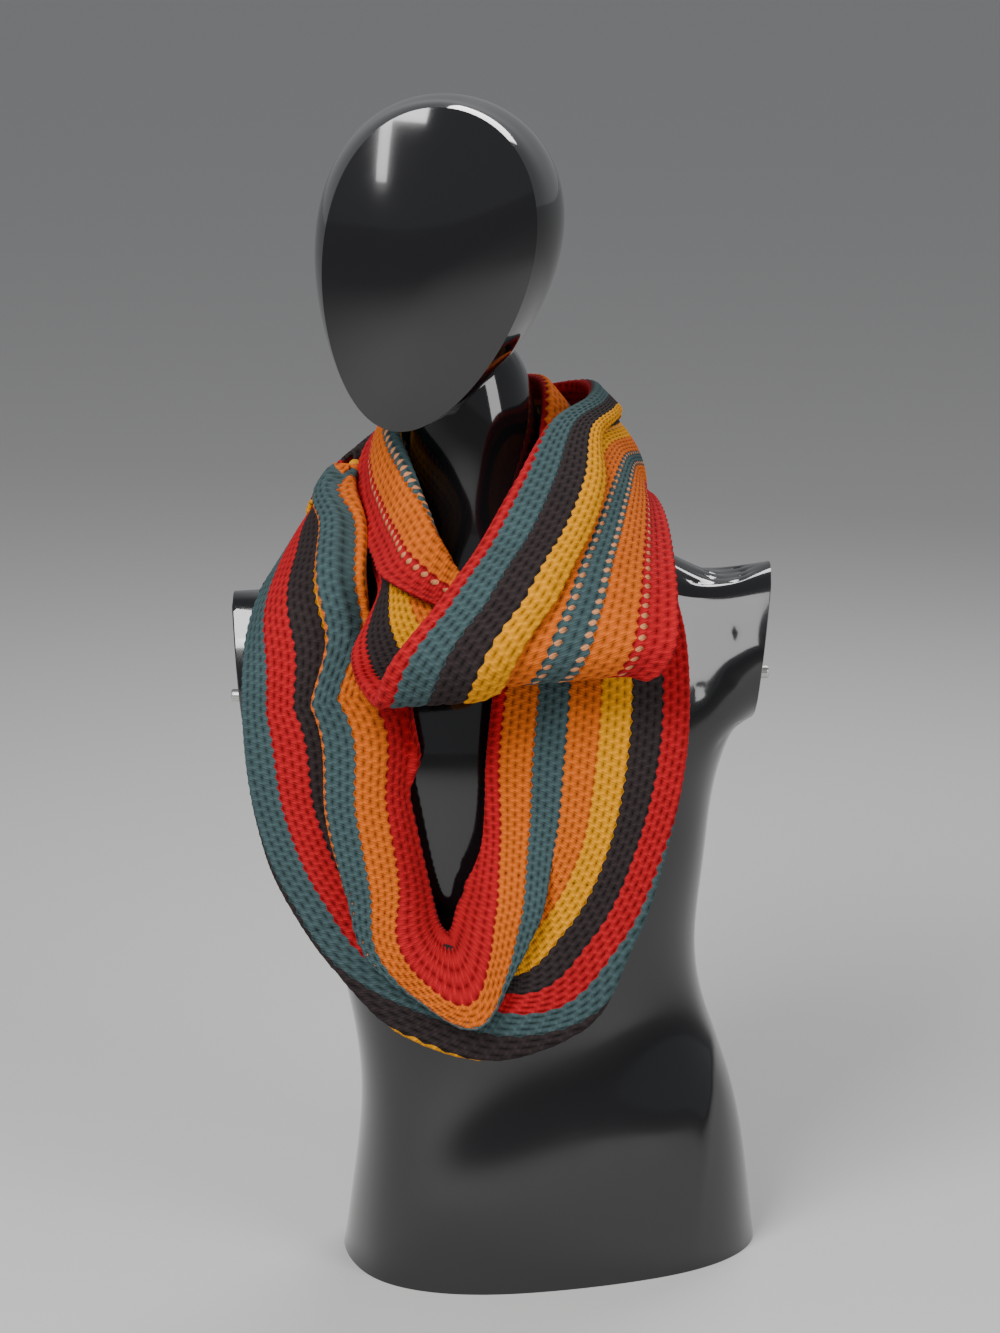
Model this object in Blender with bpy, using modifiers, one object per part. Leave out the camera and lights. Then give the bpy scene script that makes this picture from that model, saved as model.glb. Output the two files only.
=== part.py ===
"""A striped knit infinity scarf wound twice round the neck of a limbless display bust.

The scarf is one closed loop of cloth, ten stripes wide. It is described by a table with one row per
cross-section along the loop. Each row gives the two long lines that the cloth hangs between, and how
much of it is folded back at each of them. The bust is lofted from tables of horizontal rings.
"""
import math

import bmesh
import bpy
import numpy as np
from mathutils import Matrix, Vector

MM = 0.001

# Moves the middle of the whole part onto the origin, in millimetres
CENTRING = (-1.7, 21.8, 0.0)

# Cloth sizes, in millimetres
STRIP_WIDTH = 280.0
WALL = 3.0
FOLD_RADIUS = 4.5
PLEAT_RISE = 11.0
PLEAT_SOFTNESS = 3.0
PLEAT_EASE = 0.42
FLAP_SPREAD = 0.02
FLAP_MARGIN = 8.0
ENDS_GAP = 0.4
POINTS_ACROSS = 27
SECTION_SPACING = 28.0
WIDTH_BEND = 22.0
LENGTH_BEND = 60.0
THREAD_GUIDE = 120.0

# The loop, one row per cross-section, in the order that the cloth runs. The right side of the cloth
# faces outwards down the left arm of the scarf, round the V and up the right arm.
#   stretch           node that this section belongs to
#   near              line on the side of the cloth's first edge: x, y, z
#   far               line on the side of its last edge: x, y, z
#   bow               how far the middle of the section stands off, towards the right side
#   near_fold         width folded back at the near line, + over the right side, - behind it
#   far_fold          the same at the far line
#   pleat_at, pleat   where the lengthwise pleat lies, from the first edge, and how deep it is
SECTION_COLUMNS = ("stretch", "near", "far", "bow", "near_fold", "far_fold", "pleat_at", "pleat")
SECTIONS = [
    ("left_arm", (-121, 64, 650), (-166, 86, 583), 2, -140, 0, 86, 0),
    ("left_arm", (-124, 3, 645), (-174, 22, 580), 5, -56, -46, 86, 23),
    ("left_arm", (-113, -48, 620), (-188, -34, 565), 9, -56, -58, 86, 23),
    ("left_arm", (-111, -92, 584), (-196, -78, 536), 14, -55, -60, 86, 24),
    ("left_arm", (-103, -103, 542), (-196, -104, 508), 16, -50, -62, 86, 27),
    ("left_arm", (-84, -109, 502), (-194, -118, 480), 18, 0, -64, 86, 33),
    ("left_arm", (-67, -116, 415), (-184, -127, 402), 18, 0, -62, 86, 38),
    ("left_arm", (-52, -118, 346), (-160, -134, 338), 16, 0, -58, 86, 46),
    ("v_bottom", (-46, -126, 322), (-124, -138, 285), 12, 0, -56, 86, 56),
    ("v_bottom", (-43, -132, 315), (-74, -138, 234), 8, 0, -30, 80, 66),
    ("v_bottom", (-41, -134, 314), (-8, -138, 213), 8, 0, -34, 80, 70),
    ("v_bottom", (-39, -132, 317), (60, -136, 235), 8, 0, -50, 80, 32),
    ("v_bottom", (-30, -125, 342), (99, -130, 301), 10, 0, -76, 84, 14),
    ("right_arm", (-10, -118, 384), (126, -120, 379), 12, -14, -86, 84, 0),
    ("right_arm", (-5, -118, 446), (141, -108, 457), 14, -23, -92, 84, 0),
    ("right_arm", (2, -116, 510), (141, -85, 532), 12, -24, -92, 84, 0),
    ("right_arm", (12, -95, 578), (130, -50, 578), 10, -26, -92, 84, 0),
    ("right_arm", (34, -40, 654), (112, 18, 618), 8, -32, -88, 84, 0),
    ("back_inner", (42, 30, 715), (102, 86, 607), 8, -34, -88, 84, 0),
    ("back_inner", (20, 86, 716), (54, 130, 552), 8, -30, -92, 84, 0),
    ("back_inner", (-32, 94, 708), (-38, 134, 535), 8, 0, -92, 84, 0),
    ("back_inner", (-74, 70, 700), (-104, 98, 572), 5, 44, -95, 84, 0),
    ("upper_left", (-83, 12, 688), (-102, 28, 626), 2, 72, -100, 84, 0),
    ("upper_left", (-68, -46, 658), (-99, -38, 588), 2, 72, -103, 84, 0),
    ("upper_left", (-57, -73, 633), (-93, -85, 575), 3, 66, -103, 84, 0),
    ("upper_left", (-46, -97, 608), (-101, -122, 559), 4, 62, -103, 84, 0),
    ("upper_left", (-25, -120, 578), (-107, -148, 547), 6, 50, -103, 84, 0),
    ("upper_left", (23, -138, 548), (-106, -162, 534), 4, 30, -103, 84, 0),
    ("upper_front", (86, -142, 530), (-100, -170, 522), 2, 12, -103, 84, 0),
    ("upper_front", (113, -154, 526), (-90, -184, 516), 0, 0, -103, 84, 0),
    ("upper_front", (130, -162, 545), (-80, -198, 540), -8, 0, -103, 84, 0),
    ("upper_front", (133, -138, 577), (-48, -192, 579), -13, 0, -103, 84, 0),
    ("upper_front", (130, -94, 604), (-18, -168, 616), -18, 0, -102, 84, 0),
    ("upper_front", (125, -44, 624), (11, -126, 660), -20, 0, -98, 84, 0),
    ("upper_front", (117, 18, 630), (40, -66, 700), -19, 0, -90, 84, 0),
    ("back_outer", (116, 76, 612), (70, 10, 708), -17, 0, -88, 84, 0),
    ("back_outer", (98, 124, 564), (66, 96, 706), -14, 0, -92, 84, 0),
    ("back_outer", (5, 158, 518), (0, 124, 690), -12, 0, -103, 84, 0),
    ("back_outer", (-88, 144, 532), (-66, 112, 682), -8, 0, -118, 84, 0),
    ("back_outer", (-160, 86, 588), (-120, 67, 650), -6, 0, -140, 84, 0),
]

# Bust sizes, in millimetres. One row per horizontal ring of the torso and neck:
#   z, left, right    height, and where the ring ends on each side
#   middle, depth     y of the ring's middle, and its half depth
#   yaw               turn of the ring, in degrees
#   square            roundness: 2 is an ellipse, more is squarer
RING_COLUMNS = ("z", "left", "right", "middle", "depth", "yaw", "square")
TORSO_RINGS = [
    (0, -133, 216, 16, 118, -16, 2.5),
    (55, -126, 210, 16, 116, -16, 2.5),
    (115, -117, 203, 16, 108, -15, 2.4),
    (165, -118, 188, 16, 100, -14, 2.3),
    (215, -126, 166, 14, 94, -13, 2.3),
    (270, -140, 161, 12, 92, -12, 2.3),
    (330, -156, 173, 12, 96, -11, 2.4),
    (390, -168, 174, 14, 96, -10, 2.4),
    (440, -174, 192, 18, 102, -10, 2.5),
    (480, -176, 198, 22, 95, -10, 2.4),
    (520, -172, 192, 24, 86, -9, 2.3),
    (556, -150, 180, 26, 74, -8, 2.2),
    (590, -114, 124, 26, 62, -5, 2.0),
    (618, -86, 70, 24, 58, -2, 2.0),
    (645, -74, 42, 20, 56, 0, 2.0),
    (690, -71, 32, 18, 55, 0, 2.0),
    (730, -74, 24, 18, 52, 0, 2.0),
    (765, -72, 12, 16, 46, 0, 2.0),
]
RING_POINTS = 24
ARM_RINGS = (8, 11)
ARM_SEGMENTS = 3
STUMP_STEPS = (0.5, 1.0)

# Flat ends of the arm stumps: x of the cut, how far it leans in
# towards its bottom, middle y and z, depth and height
STUMP_COLUMNS = ("reach", "lean", "y", "z", "depth", "height")
STUMPS = {
    "left": (-209, 10, -4, 500, 112, 116),
    "right": (213, 14, 44, 508, 120, 130),
}

# Head: an egg lofted along the line that it faces. One row per ring:
#   depth              distance behind the rim of the face
#   wide, tall         size beside the face's own
#   up                 rise of the ring's middle
HEAD_CENTRE = (-58, -92, 824)
HEAD_YAW = -5.5
HEAD_PITCH = 2.0
HEAD_ROLL = 12.5
FACE_HALF_WIDTH = 79.0
FACE_HALF_HEIGHT = 126.0
EGG = 0.18
HEAD_RING_POINTS = 32
HEAD_COLUMNS = ("depth", "wide", "tall", "up")
HEAD_RINGS = [
    (-15.5, 0.30, 0.30, 0),
    (-11.3, 0.58, 0.58, 0),
    (-5, 0.84, 0.84, 0),
    (-1.2, 0.965, 0.965, 0),
    (0, 1.0, 1.0, 0),
    (7, 1.035, 1.01, 0),
    (40, 1.15, 1.01, 0),
    (85, 1.18, 0.99, 2),
    (125, 1.10, 0.92, 4),
    (158, 0.90, 0.74, 8),
    (182, 0.60, 0.48, 12),
    (193, 0.28, 0.22, 12),
]

# Fittings on the flat ends of the arm stumps
PEG_RADIUS = 5.0
PEG_LENGTH = 9.0
PEG_DROP = 28.0
PEG_GAP = 0.9

SCARF_COLOUR = (0.60, 0.19, 0.055)
BUST_COLOUR = (0.006, 0.006, 0.007)
PEG_COLOUR = (0.55, 0.55, 0.52)


def clear_scene():
    """Remove every object, so that only this part is left."""
    for obj in list(bpy.data.objects):
        bpy.data.objects.remove(obj, do_unlink=True)


def material(name, colour, roughness, metallic=0.0, coat=0.0):
    """Return a Principled material."""
    made = bpy.data.materials.new(name)
    made.use_nodes = True
    shader = made.node_tree.nodes["Principled BSDF"]
    shader.inputs["Base Color"].default_value = (*colour, 1.0)
    shader.inputs["Roughness"].default_value = roughness
    shader.inputs["Metallic"].default_value = metallic
    shader.inputs["Coat Weight"].default_value = coat
    return made


def add_object(collection, name, bm, finish, smooth=True):
    """Turn a bmesh into a named object in the collection."""
    mesh = bpy.data.meshes.new(name)
    bmesh.ops.recalc_face_normals(bm, faces=bm.faces)
    bm.to_mesh(mesh)
    bm.free()
    mesh.materials.append(finish)
    for face in mesh.polygons:
        face.use_smooth = smooth
    obj = bpy.data.objects.new(name, mesh)
    collection.objects.link(obj)
    return obj


def through_rows(stations, rows, at):
    """Smooth curve through every row, worked out at the lengths given."""
    steps = np.diff(stations)[:, None]
    slopes = np.diff(rows, axis=0) / steps
    tangents = np.vstack([slopes[:1], slopes[:1], slopes[1:]])[: len(rows)]
    tangents[1:-1] = (slopes[:-1] * steps[1:] + slopes[1:] * steps[:-1]) / (steps[1:] + steps[:-1])
    tangents[-1] = slopes[-1]
    index = np.clip(np.searchsorted(stations, at) - 1, 0, len(stations) - 2)
    step = steps[index]
    t = (at - stations[index])[:, None] / step
    return (
        (2 * t**3 - 3 * t**2 + 1) * rows[index]
        + (t**3 - 2 * t**2 + t) * step * tangents[index]
        + (3 * t**2 - 2 * t**3) * rows[index + 1]
        + (t**3 - t**2) * step * tangents[index + 1]
    )


def soft_positive(value):
    """The value where it is positive and nothing where it isn't, with a rounded corner."""
    return 0.5 * (value + np.sqrt(value * value + PLEAT_SOFTNESS**2))


def section_profile(across, bow, near_fold, far_fold, pleat_at, pleat, chord):
    """Where each thread across the strip lies: distance along the chord, and height off it."""
    near, far = abs(near_fold), abs(far_fold)
    face = STRIP_WIDTH - near - far
    depth = max(pleat, 0.0)
    crease = pleat_at - near

    def pleated(position):
        return position - 2 * soft_positive(position - crease) + 2 * soft_positive(position - crease - depth)

    on_face = across - near
    start, end = pleated(np.array([0.0, face]))
    along = (pleated(on_face) - start) * chord / (end - start)
    under = 1 / (1 + np.exp(-(on_face - crease - depth / 2) / (1 + depth * 0.16)))
    ease = np.clip(on_face / max(crease * PLEAT_EASE, 1.0), 0, 1)
    height = PLEAT_RISE * min(depth / 10, 1.0) * (1 - under) * ease**2 * (3 - 2 * ease)

    at_near, at_far = across < near, across > STRIP_WIDTH - far
    past = np.where(at_near, near - across, np.where(at_far, across - STRIP_WIDTH + far, 0.0))
    side = np.where(at_near, np.sign(near_fold), np.sign(far_fold))
    turn = np.clip(past / FOLD_RADIUS, 0, math.pi)
    run = np.clip(past - math.pi * FOLD_RADIUS, 0, None)
    widest = np.where(at_near, near, far) - math.pi * FOLD_RADIUS
    run *= np.minimum(1.0, (chord - FLAP_MARGIN) / np.maximum(widest, 1.0))
    back = run - FOLD_RADIUS * np.sin(turn)
    lift = side * (FOLD_RADIUS * (1 - np.cos(turn)) + FLAP_SPREAD * run)
    along = np.where(at_near, back, np.where(at_far, chord - back, along))
    height = np.where(past > 0, lift, height)
    part = np.clip(along / chord, 0, 1)
    return along, height + bow * 4 * part * (1 - part)


def closer_at_bends(line, count, bend_weight):
    """Places along a finely divided line, closer together where it bends, as parts of its length."""
    steps = np.diff(line, axis=0)
    lengths = np.linalg.norm(steps, axis=1)
    heading = steps / lengths[:, None]
    bend = np.concatenate([[0.0], np.linalg.norm(np.diff(heading, axis=0), axis=1)])
    spread = max(3, len(bend) // 24)
    bend = np.convolve(bend, np.ones(spread) / spread, mode="same")
    weight = np.concatenate([[0.0], np.cumsum(lengths + bend_weight * bend)])
    place = np.linspace(0, 1, len(line))
    return np.interp(np.linspace(0, weight[-1], count), weight, place)


def loop_stations():
    """Length along the loop at each row, and the rows as numbers."""
    near = np.array([row[1] for row in SECTIONS], float)
    far = np.array([row[2] for row in SECTIONS], float)
    rest = np.array([row[3:] for row in SECTIONS], float)

    def steps(points):
        return np.linalg.norm(np.diff(points, axis=0), axis=1)

    lengths = 0.5 * steps((near + far) / 2) + 0.25 * (steps(near) + steps(far))
    return np.concatenate([[0.0], np.cumsum(lengths)]), np.hstack([near, far, rest])


def section_at(place, heading_step=3.0):
    """The section at one length along the loop: near line, its two directions, chord and values."""
    stations, rows = loop_stations()
    around = np.clip(place + heading_step * np.array([-1, 0, 1]), 0, stations[-1])
    behind, here, ahead = through_rows(stations, rows, around)
    forward = (ahead - behind)[0:3] + (ahead - behind)[3:6]
    chord = np.linalg.norm(here[3:6] - here[0:3])
    across = (here[3:6] - here[0:3]) / chord
    outward = np.cross(across, forward)
    return here[0:3], across, outward / np.linalg.norm(outward), chord, here[6:]


def section_points(place, threads):
    """Points in space of the threads given, at one length along the loop."""
    near, across, outward, chord, values = section_at(place)
    along, height = section_profile(threads, *values, chord)
    return near + along[:, None] * across + height[:, None] * outward


def cloth_grid(start, end):
    """Points and unit normals of the cloth's middle layer between two lengths along the loop.

    Both ends are flat cuts, so that two stretches meet with an even gap.
    """
    fine = np.linspace(start, end, 120)
    middles = np.array([section_points(place, np.array([THREAD_GUIDE]))[0] for place in fine])
    count = max(4, round((end - start) / SECTION_SPACING) + 1)
    places = start + (end - start) * closer_at_bends(middles, count, LENGTH_BEND)
    threads = np.linspace(0, STRIP_WIDTH, 500)
    grid, normals = [], []
    for place in places:
        even = closer_at_bends(section_points(place, threads), POINTS_ACROSS, WIDTH_BEND) * STRIP_WIDTH
        points = section_points(place, even)
        onward = section_points(place + 1.0, even) - section_points(place - 1.0, even)
        normal = np.cross(np.gradient(points, axis=0), onward)
        grid.append(points)
        normals.append(normal / np.linalg.norm(normal, axis=1, keepdims=True))
    for end, inward in ((0, 1), (-1, -1)):
        _, across, outward, _, _ = section_at(places[end])
        forward = np.cross(outward, across)
        level = normals[end] - np.outer(normals[end] @ forward, forward)
        grid[end] = grid[end] + inward * ENDS_GAP / 2 * forward
        normals[end] = level / np.linalg.norm(level, axis=1, keepdims=True)
    return np.array(grid), np.array(normals)


def add_cloth(collection, name, start, end, finish):
    """One stretch of the scarf: a closed shell of even wall round its middle layer."""
    grid, normals = cloth_grid(start, end)
    offset = normals * WALL / 2
    rows, columns = grid.shape[:2]
    bm = bmesh.new()
    layers = []
    for side in (grid + offset, grid - offset):
        layers.append([[bm.verts.new(Vector(point) * MM) for point in row] for row in side])
    top, bottom = layers
    for i in range(rows - 1):
        for j in range(columns - 1):
            bm.faces.new((top[i][j], top[i][j + 1], top[i + 1][j + 1], top[i + 1][j]))
            bm.faces.new((bottom[i][j], bottom[i + 1][j], bottom[i + 1][j + 1], bottom[i][j + 1]))
    rim = [(i, 0) for i in range(rows)] + [(rows - 1, j) for j in range(1, columns)]
    rim += [(i, columns - 1) for i in range(rows - 2, -1, -1)] + [(0, j) for j in range(columns - 2, 0, -1)]
    for (a, b), (c, d) in zip(rim, rim[1:] + rim[:1]):
        bm.faces.new((top[a][b], top[c][d], bottom[c][d], bottom[a][b]))
    return add_object(collection, name, bm, finish)


def build_scarf(collection):
    """Every stretch of the loop, each its own node."""
    wool = material("striped_wool", SCARF_COLOUR, 0.95)
    stations, _ = loop_stations()
    names = [row[0] for row in SECTIONS]
    starts = [i for i, name in enumerate(names) if i == 0 or name != names[i - 1]]
    bounds = [0.0] + [(stations[i - 1] + stations[i]) / 2 for i in starts[1:]] + [stations[-1]]
    for first, start, end in zip(starts, bounds, bounds[1:]):
        add_cloth(collection, "scarf_" + names[first], start, end, wool)


def ring_points(left, right, middle, depth, yaw, square):
    """Points of one horizontal ring of the torso, from +X anticlockwise."""
    half = (right - left) / 2
    points = []
    for k in range(RING_POINTS):
        angle = 2 * math.pi * k / RING_POINTS
        x = half * math.copysign(abs(math.cos(angle)) ** (2 / square), math.cos(angle))
        y = depth * math.copysign(abs(math.sin(angle)) ** (2 / square), math.sin(angle))
        turned = Matrix.Rotation(-math.radians(yaw), 2) @ Vector((x, y))
        points.append((turned.x + (left + right) / 2, turned.y + middle))
    return points


def build_torso():
    """Torso with its neck and two cut-off arm stumps, as one smooth skin."""
    bm = bmesh.new()
    crease = bm.edges.layers.float.new("crease_edge")
    rings = []
    for z, *ring in TORSO_RINGS:
        rings.append([bm.verts.new(Vector((x, y, z)) * MM) for x, y in ring_points(*ring)])
    sides = {}
    for i, (low, high) in enumerate(zip(rings, rings[1:])):
        for k in range(RING_POINTS):
            n = (k + 1) % RING_POINTS
            sides[i, k] = bm.faces.new((low[k], low[n], high[n], high[k]))
    bottom = bm.faces.new(rings[0][::-1])
    bm.faces.new(rings[-1])
    for edge in bottom.edges:
        edge[crease] = 1.0
    for centre, side in ((0, "right"), (RING_POINTS // 2, "left")):
        patch = [
            sides[i, (centre + k) % RING_POINTS]
            for i in range(*ARM_RINGS)
            for k in range(-ARM_SEGMENTS, ARM_SEGMENTS)
        ]
        build_stump(bm, crease, patch, *STUMPS[side])
    return bm


def build_stump(bm, crease, patch, reach, lean, y, z, depth, height):
    """Draw a patch of the torso's side out to a flat oval cut, by way of a loop half way."""
    goal = bm.verts.layers.float_vector.get("goal") or bm.verts.layers.float_vector.new("goal")
    verts = {vert for face in patch for vert in face.verts}
    low = Vector([min(v.co[i] for v in verts) for i in range(3)])
    high = Vector([max(v.co[i] for v in verts) for i in range(3)])
    for vert in verts:
        u, v = (2 * (vert.co[i] - low[i]) / (high[i] - low[i]) - 1 for i in (1, 2))
        out, up = u * math.sqrt(1 - v * v / 2) / 2, v * math.sqrt(1 - u * u / 2) / 2
        across = reach + math.copysign(lean, reach) * up
        vert[goal] = Vector((across, y + depth * out, z + height * up)) * MM
    for part in STUMP_STEPS:
        made = bmesh.ops.extrude_face_region(bm, geom=patch)
        bmesh.ops.delete(bm, geom=patch, context="FACES_ONLY")
        patch = [item for item in made["geom"] if isinstance(item, bmesh.types.BMFace)]
        for vert in {vert for face in patch for vert in face.verts}:
            vert.co = vert.co.lerp(vert[goal], part)
    cut = set(patch)
    for edge in {edge for face in patch for edge in face.edges}:
        if any(face not in cut for face in edge.link_faces):
            edge[crease] = 0.9


def build_head():
    """Faceless egg head with a shallow domed face inside a crisp rim."""
    bm = bmesh.new()
    crease = bm.edges.layers.float.new("crease_edge")
    turn = (
        Matrix.Rotation(math.radians(HEAD_YAW), 4, "Z")
        @ Matrix.Rotation(math.radians(HEAD_PITCH), 4, "X")
        @ Matrix.Rotation(math.radians(HEAD_ROLL), 4, "Y")
    )
    rings = []
    for depth, wide, tall, up in HEAD_RINGS:
        ring = []
        for k in range(HEAD_RING_POINTS):
            angle = 2 * math.pi * k / HEAD_RING_POINTS
            x = wide * FACE_HALF_WIDTH * math.sin(angle) * (1 + EGG * math.cos(angle))
            z = tall * FACE_HALF_HEIGHT * math.cos(angle) + up
            ring.append(bm.verts.new((Vector(HEAD_CENTRE) + turn @ Vector((x, depth, z))) * MM))
        rings.append(ring)
    for low, high in zip(rings, rings[1:]):
        for k in range(HEAD_RING_POINTS):
            n = (k + 1) % HEAD_RING_POINTS
            bm.faces.new((low[k], low[n], high[n], high[k]))
    bm.faces.new(rings[0][::-1])
    bm.faces.new(rings[-1])
    bm.edges.ensure_lookup_table()
    rim = set(rings[4])
    for edge in bm.edges:
        if edge.verts[0] in rim and edge.verts[1] in rim:
            edge[crease] = 0.8
    return bm


def build_bust(collection, helpers):
    """Torso and head, smoothed and joined into one body, and the two pegs."""
    gloss = material("black_gloss", BUST_COLOUR, 0.06, coat=1.0)
    steel = material("peg_steel", PEG_COLOUR, 0.3, metallic=1.0)
    torso = add_object(collection, "bust", build_torso(), gloss)
    head = add_object(helpers, "head_egg", build_head(), gloss)
    for obj in (torso, head):
        smooth = obj.modifiers.new("smooth", "SUBSURF")
        smooth.levels = 1
        smooth.render_levels = 1
    join = torso.modifiers.new("join_head", "BOOLEAN")
    join.operation = "UNION"
    join.solver = "EXACT"
    join.object = head
    for side, (reach, lean, y, z, _, height) in STUMPS.items():
        bm = bmesh.new()
        bmesh.ops.create_cone(
            bm,
            cap_ends=True,
            segments=24,
            radius1=PEG_RADIUS * MM,
            radius2=PEG_RADIUS * MM,
            depth=PEG_LENGTH * MM,
            matrix=Matrix.Rotation(math.pi / 2, 4, "Y"),
        )
        peg = add_object(collection, "peg_" + side, bm, steel)
        face = abs(reach) - lean * PEG_DROP / height
        out = math.copysign(face + PEG_GAP + PEG_LENGTH / 2, reach)
        peg.location = Vector((out, y, z - PEG_DROP)) * MM
        edge = peg.modifiers.new("edge", "BEVEL")
        edge.width = 1.2 * MM
        edge.segments = 2


def main():
    """Build the scarf on its bust."""
    clear_scene()
    scene = bpy.context.scene
    collection = bpy.data.collections.new("knit_scarf")
    helpers = bpy.data.collections.new("helpers")
    scene.collection.children.link(collection)
    scene.collection.children.link(helpers)
    helpers.hide_render = True
    build_bust(collection, helpers)
    build_scarf(collection)
    for obj in collection.objects:
        obj.location += Vector(CENTRING) * MM
    for obj in helpers.objects:
        obj.location += Vector(CENTRING) * MM
        obj.hide_render = True
        obj.display_type = "WIRE"


main()
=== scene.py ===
"""Look of a striped knit infinity scarf, wound twice round the neck of a gloss black display bust.

Each stretch of the scarf is knitted over its CAD solid as two faces of relief with a rolled edge.
The bust is skinned again, finer than its solid, and lacquered. Lengths are in millimetres unless
they say otherwise, and the tables describe the part before it is centred on the origin.
"""
from __future__ import annotations

import logging
import math
from dataclasses import dataclass, fields
from enum import Enum
from functools import cached_property

import bmesh
import bpy
import numpy as np
from mathutils import Matrix, Vector


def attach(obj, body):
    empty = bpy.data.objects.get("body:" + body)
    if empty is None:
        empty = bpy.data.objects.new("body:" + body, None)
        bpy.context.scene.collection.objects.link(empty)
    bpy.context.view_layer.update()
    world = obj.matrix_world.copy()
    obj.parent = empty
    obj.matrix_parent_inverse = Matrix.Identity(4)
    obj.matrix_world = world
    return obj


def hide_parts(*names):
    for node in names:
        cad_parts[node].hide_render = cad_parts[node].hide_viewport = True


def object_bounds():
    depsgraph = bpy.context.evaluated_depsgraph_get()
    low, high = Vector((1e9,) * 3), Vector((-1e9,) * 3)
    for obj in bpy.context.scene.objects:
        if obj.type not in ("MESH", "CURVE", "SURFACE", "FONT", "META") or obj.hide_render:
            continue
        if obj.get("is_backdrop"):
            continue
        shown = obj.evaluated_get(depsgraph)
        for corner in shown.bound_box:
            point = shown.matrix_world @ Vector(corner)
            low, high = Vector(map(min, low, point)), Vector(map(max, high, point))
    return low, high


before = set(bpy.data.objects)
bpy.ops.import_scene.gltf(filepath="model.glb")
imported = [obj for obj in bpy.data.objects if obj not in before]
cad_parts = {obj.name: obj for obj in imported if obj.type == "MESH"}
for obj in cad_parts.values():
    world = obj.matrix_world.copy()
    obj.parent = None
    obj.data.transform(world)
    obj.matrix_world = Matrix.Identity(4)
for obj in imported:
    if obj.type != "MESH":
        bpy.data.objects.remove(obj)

LOG = logging.getLogger("knit_scarf")
MM = 0.001
CENTRING = Vector((-1.7, 21.8, 0.0))
BLACK = (0.0, 0.0, 0.0, 1.0)
Array = np.ndarray


def smooth_curve(
    t: Array, step: Array, ends: tuple[Array, Array], rates: tuple[Array, Array]
) -> Array:
    """Follow a smooth curve from one table row to the next.

    Args:
        t: Share of the way, from 0 to 1.
        step: Length of the way.
        ends: Values at its start and at its end.
        rates: Rates of change there, for each unit of length.

    Returns:
        The values on the way.
    """
    return (
        (2 * t**3 - 3 * t**2 + 1) * ends[0]
        + (t**3 - 2 * t**2 + t) * step * rates[0]
        + (3 * t**2 - 2 * t**3) * ends[1]
        + (t**3 - t**2) * step * rates[1]
    )


class Yarn(Enum):
    """Wool colours, in linear light."""

    RED = (0.62, 0.009, 0.018)
    ORANGE = (0.90, 0.180, 0.012)
    YELLOW = (1.0, 0.400, 0.0)
    TEAL = (0.070, 0.125, 0.132)
    CHARCOAL = (0.038, 0.026, 0.027)
    PALE = (0.84, 0.340, 0.150)


STRIPES = (
    Yarn.RED,
    Yarn.ORANGE,
    Yarn.TEAL,
    Yarn.ORANGE,
    Yarn.YELLOW,
    Yarn.CHARCOAL,
    Yarn.RED,
    Yarn.TEAL,
    Yarn.CHARCOAL,
    Yarn.YELLOW,
)


class Side(Enum):
    """The two sides of the knitted cloth."""

    RIGHT = "right"
    WRONG = "wrong"


@dataclass(frozen=True)
class Knit:
    """Gauge and relief of the knitting. Ridges run along the scarf, one for each row of stitches.

    swing and half_cord are shares of a ridge. crispness is how near the swing comes to a straight
    zigzag. knot is how far a cord sinks where it crosses its middle, and hole_level the height of a
    cord, as a share, that lies on the cloth's core. curl is how far the two edges roll under, and
    back_shift how many stitches further on the wrong side's cords swing.
    """

    stripe_width: float = 28.0
    ridges_per_stripe: int = 4
    stitch: float = 8.6
    swing: float = 0.25
    half_cord: float = 0.76
    cord_height: float = 2.1
    crispness: float = 0.97
    knot: float = 0.22
    hole_level: float = 0.35
    back_shift: float = 0.5
    core: float = 1.3
    curl: float = 5.0
    curl_width: float = 8.5
    steps_per_ridge: int = 4
    steps_per_stitch: int = 4
    rounding: float = 1e-6

    @property
    def width(self) -> float:
        """Width of the whole strip.

        Returns:
            The width across every stripe.
        """
        return self.stripe_width * len(STRIPES)

    @property
    def ridge(self) -> float:
        """Distance from one ridge to the next.

        Returns:
            The pitch across the strip.
        """
        return self.stripe_width / self.ridges_per_stripe

    def relief(self, stitches: Array, ridges: Array) -> Array:
        """Height of the wavy cords over the holes between them.

        Args:
            stitches: Place along the strip, counted in stitches.
            ridges: Place across the strip, counted in ridges.

        Returns:
            Height from 0 in a hole to 1 on the crown of a cord.
        """
        cell = np.floor(ridges + self.rounding)
        sine = np.sin(2 * np.pi * stitches + np.pi * np.mod(cell, 2))
        wave = np.arcsin(self.crispness * sine) * 2 / np.pi
        off = (ridges - cell - 0.5 - self.swing * wave) / self.half_cord
        return np.sqrt(np.clip(1 - off * off, 0, 1)) * (1 - self.knot + self.knot * wave * wave)


KNIT = Knit()


@dataclass(frozen=True)
class Section:
    """One cross-section of the scarf, as it hangs.

    near and far are the two long lines that the cloth hangs between. bow is how far the middle
    stands off towards the right side. near_fold and far_fold are the widths folded back at each
    line, over the right side where positive. A lengthwise pleat lies pleat_at from the first edge,
    pleat deep. spread is how far the first stripe is drawn out where the loop turns, and gather how
    much of the far fold's width is taken up by creasing.
    """

    stretch: str
    near: tuple[float, float, float]
    far: tuple[float, float, float]
    bow: float
    near_fold: float
    far_fold: float
    pleat_at: float
    pleat: float
    spread: float = 0.0
    gather: float = 0.0

    def numbers(self) -> list[float]:
        """The section's sizes as one row.

        Returns:
            The two lines' coordinates, then every other size in the order of the fields.
        """
        sizes = [getattr(self, field.name) for field in fields(self)[3:]]
        return [*self.near, *self.far, *sizes]


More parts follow.
